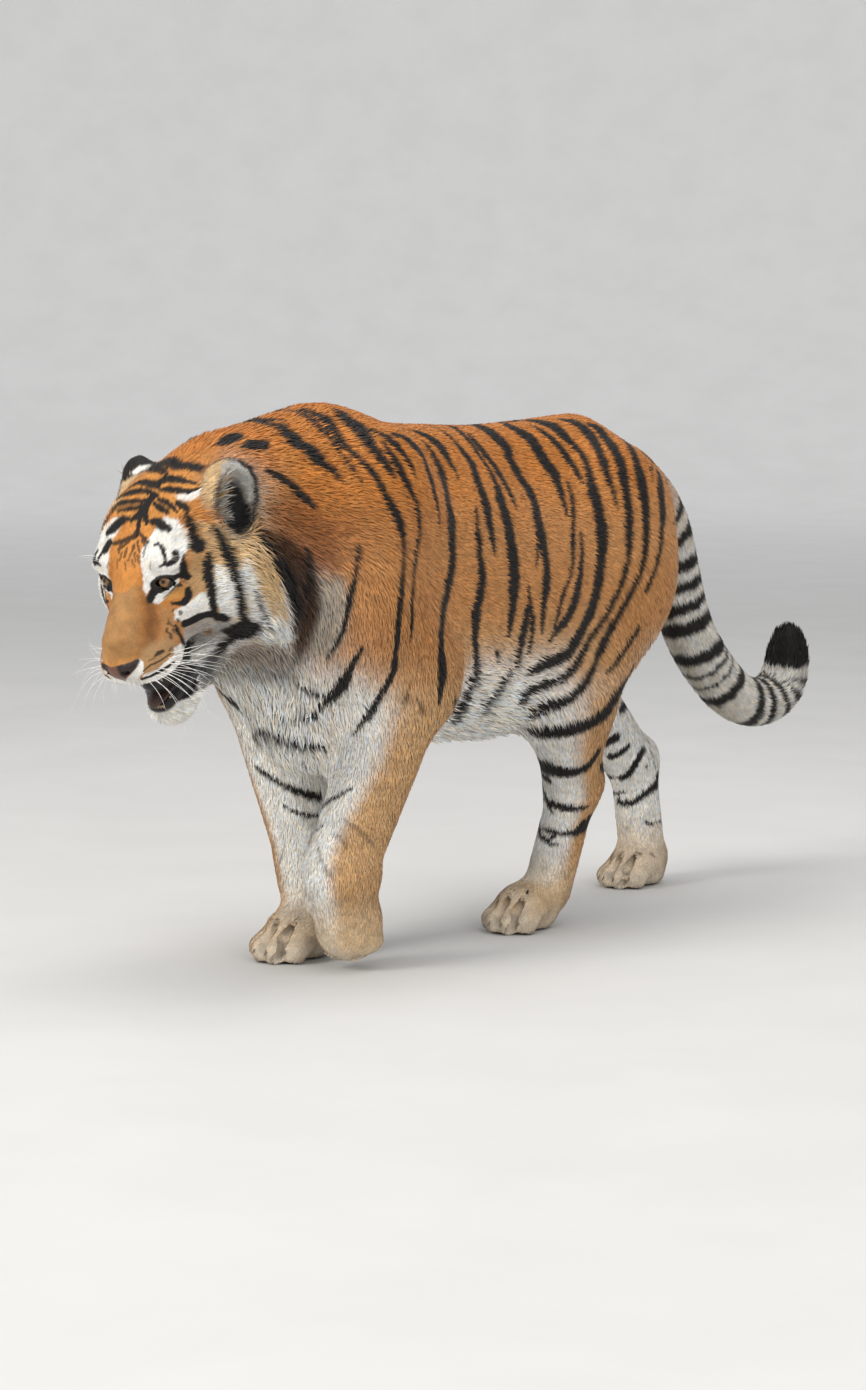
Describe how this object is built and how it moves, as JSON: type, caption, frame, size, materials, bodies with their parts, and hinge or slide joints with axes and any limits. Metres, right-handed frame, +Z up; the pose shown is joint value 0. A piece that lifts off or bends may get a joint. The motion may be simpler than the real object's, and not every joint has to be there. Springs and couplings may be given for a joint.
{
  "type": "tiger",
  "caption": "Life-size still model of a walking long-coated northern tiger with lowered head and parted mouth, resting on its paws.",
  "frame": {"origin": "on the floor under the middle of the model's bounding box", "axes": "+Z up, the tiger walks towards -Y with its nose at -Y and tail at +Y, its left side at +X"},
  "size_m": [0.505, 2.1098, 1.007],
  "materials": {
    "coat_orange": "dense straight fur, rufous orange with black stripes",
    "coat_cream": "short fur, cream to light orange",
    "coat_white": "long soft fur, off-white",
    "coat_black": "short fur, black",
    "nose_skin": "bare moist skin, brown-pink",
    "eye": "wet, amber iris with a round pupil",
    "claw_horn": "smooth horn",
    "tongue": "moist, pink"
  },
  "bodies": {
    "root": {"chest": "coat_orange", "claw_fore_left_1": "claw_horn", "claw_fore_left_2": "claw_horn", "claw_fore_left_3": "claw_horn", "claw_fore_left_4": "claw_horn", "claw_fore_right_1": "claw_horn", "claw_fore_right_2": "claw_horn", "claw_fore_right_3": "claw_horn", "claw_fore_right_4": "claw_horn", "claw_hind_left_1": "claw_horn", "claw_hind_left_2": "claw_horn", "claw_hind_left_3": "claw_horn", "claw_hind_left_4": "claw_horn", "claw_hind_right_1": "claw_horn", "claw_hind_right_2": "claw_horn", "claw_hind_right_3": "claw_horn", "claw_hind_right_4": "claw_horn", "ear_left": "coat_black", "ear_right": "coat_black", "eye_left": "eye", "eye_right": "eye", "forearm_left": "coat_cream", "forearm_right": "coat_cream", "forepaw_left": "coat_cream", "forepaw_right": "coat_cream", "head": "coat_orange", "hind_shank_left": "coat_cream", "hind_shank_right": "coat_cream", "hindpaw_left": "coat_cream", "hindpaw_right": "coat_cream", "jaw": "coat_white", "neck": "coat_orange", "nose": "nose_skin", "rump": "coat_orange", "tail_base": "coat_cream", "tail_middle": "coat_cream", "tail_tip": "coat_black", "thigh_left": "coat_orange", "thigh_right": "coat_orange", "tongue": "tongue", "trunk": "coat_orange", "upper_arm_left": "coat_orange", "upper_arm_right": "coat_orange"}
  },
  "joints": []
}
